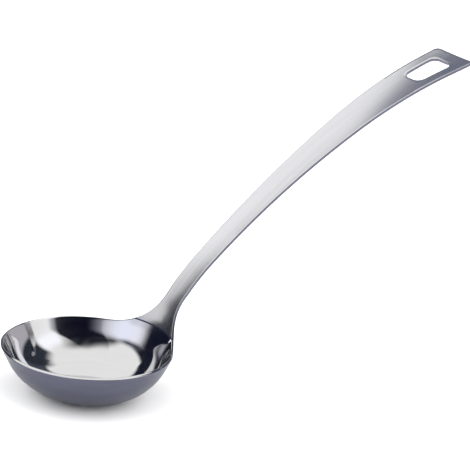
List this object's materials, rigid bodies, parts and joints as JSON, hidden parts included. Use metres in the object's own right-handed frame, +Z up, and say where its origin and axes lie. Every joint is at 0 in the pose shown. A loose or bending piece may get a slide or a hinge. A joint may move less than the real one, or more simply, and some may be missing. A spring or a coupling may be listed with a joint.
{
  "type": "ladle",
  "caption": "Long-handled soup ladle of sheet steel: a round shallow drawn bowl welded to a curved, flaring flat handle with a hanging slot near its end.",
  "frame": {"origin": "centre of the bowl's flat base, on the surface that the base rests on", "axes": "+Z up, square to the rim; +X from the bowl towards the end of the handle; the part is its own mirror image across the XZ plane"},
  "size_m": [0.2851, 0.092, 0.1626],
  "materials": {
    "polished_steel": "stainless steel, mirror polished inside and satin outside",
    "weld_metal": "stainless steel weld, ground flush",
    "satin_steel": "stainless steel, satin, finely brushed along the handle"
  },
  "bodies": {
    "root": {"bowl": "polished_steel", "neck_weld": "weld_metal", "handle": "satin_steel"}
  },
  "joints": []
}
